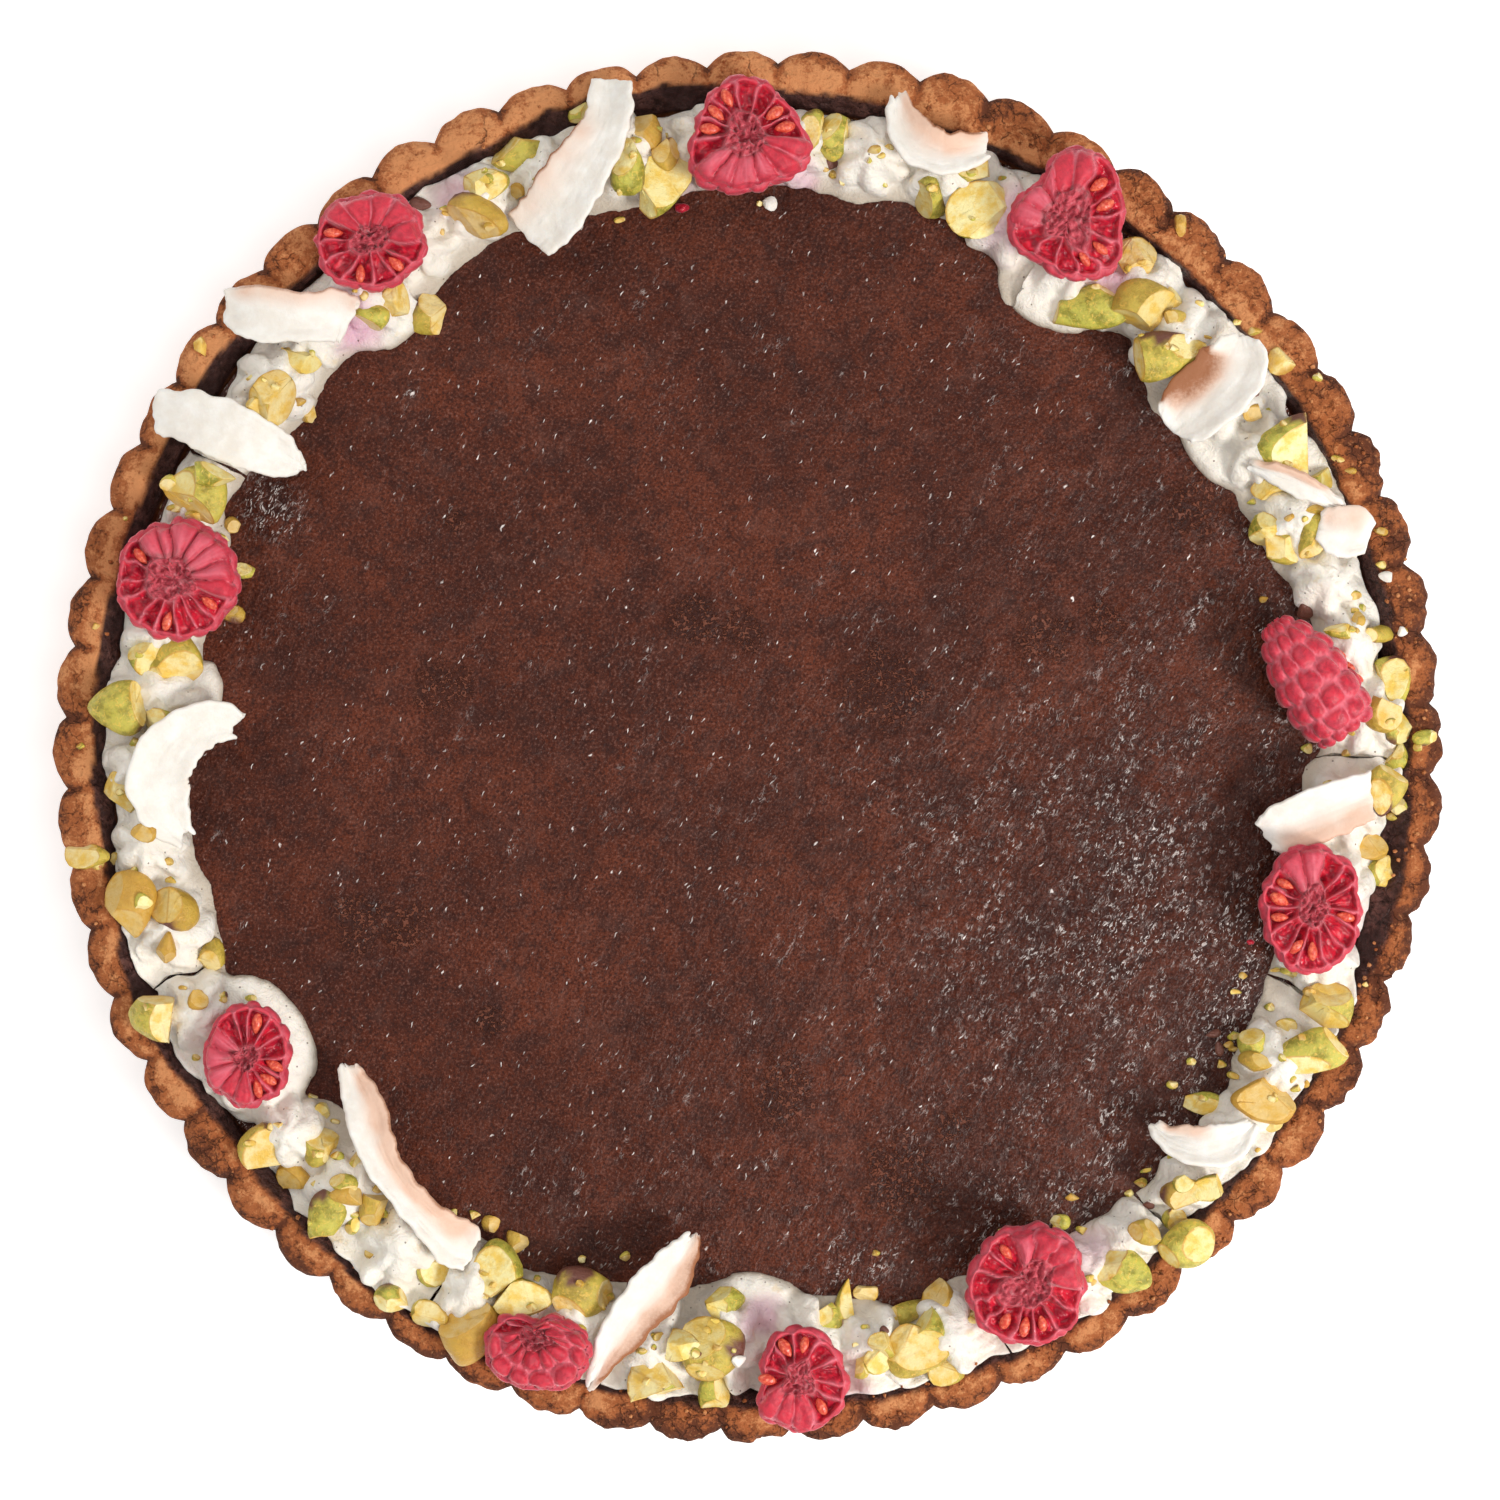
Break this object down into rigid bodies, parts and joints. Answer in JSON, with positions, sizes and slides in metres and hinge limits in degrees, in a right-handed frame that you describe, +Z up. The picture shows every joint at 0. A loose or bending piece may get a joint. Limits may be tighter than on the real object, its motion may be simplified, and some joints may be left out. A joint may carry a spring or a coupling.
{
  "type": "chocolate raspberry tart",
  "caption": "Round fluted tart filled with dark ganache, edged with piped cream that carries raspberries, toasted coconut chips and chopped pistachios.",
  "frame": {"origin": "middle of the flat underside of the crust", "axes": "+Z up through the middle of the tart; +X and +Y lie in the underside, +X to the right and +Y to the top of the tart as seen from above"},
  "size_m": [0.2396, 0.2398, 0.0382],
  "materials": {
    "crust": "baked shortcrust, dry and crumbly",
    "ganache": "set chocolate, satin with a faint bloom",
    "cream": "whipped, soft satin",
    "raspberry": "moist",
    "coconut": "dry, toasted at the edges",
    "pistachio": "cut nut, satin"
  },
  "bodies": {
    "root": {"crust": "crust", "ganache": "ganache", "cream_1": "cream", "cream_2": "cream", "cream_3": "cream", "cream_4": "cream", "cream_5": "cream", "cream_6": "cream", "cream_7": "cream", "cream_8": "cream", "cream_9": "cream", "cream_10": "cream", "cream_11": "cream", "cream_12": "cream", "cream_13": "cream", "raspberry_1": "raspberry", "raspberry_2": "raspberry", "raspberry_3": "raspberry", "raspberry_4": "raspberry", "raspberry_5": "raspberry", "raspberry_6": "raspberry", "raspberry_7": "raspberry", "raspberry_8": "raspberry", "raspberry_9": "raspberry", "raspberry_10": "raspberry", "coconut_1": "coconut", "coconut_2": "coconut", "coconut_3": "coconut", "coconut_4": "coconut", "coconut_5": "coconut", "coconut_6": "coconut", "coconut_7": "coconut", "coconut_8": "coconut", "coconut_9": "coconut", "coconut_10": "coconut", "coconut_11": "coconut", "coconut_12": "coconut", "pistachio_1": "pistachio", "pistachio_2": "pistachio", "pistachio_3": "pistachio", "pistachio_4": "pistachio", "pistachio_5": "pistachio", "pistachio_6": "pistachio", "pistachio_7": "pistachio", "pistachio_8": "pistachio", "pistachio_9": "pistachio", "pistachio_10": "pistachio", "pistachio_11": "pistachio", "pistachio_12": "pistachio", "pistachio_13": "pistachio", "pistachio_14": "pistachio", "pistachio_15": "pistachio", "pistachio_16": "pistachio", "pistachio_17": "pistachio", "pistachio_18": "pistachio", "pistachio_19": "pistachio", "pistachio_20": "pistachio", "pistachio_21": "pistachio", "pistachio_22": "pistachio", "pistachio_23": "pistachio"}
  },
  "joints": []
}
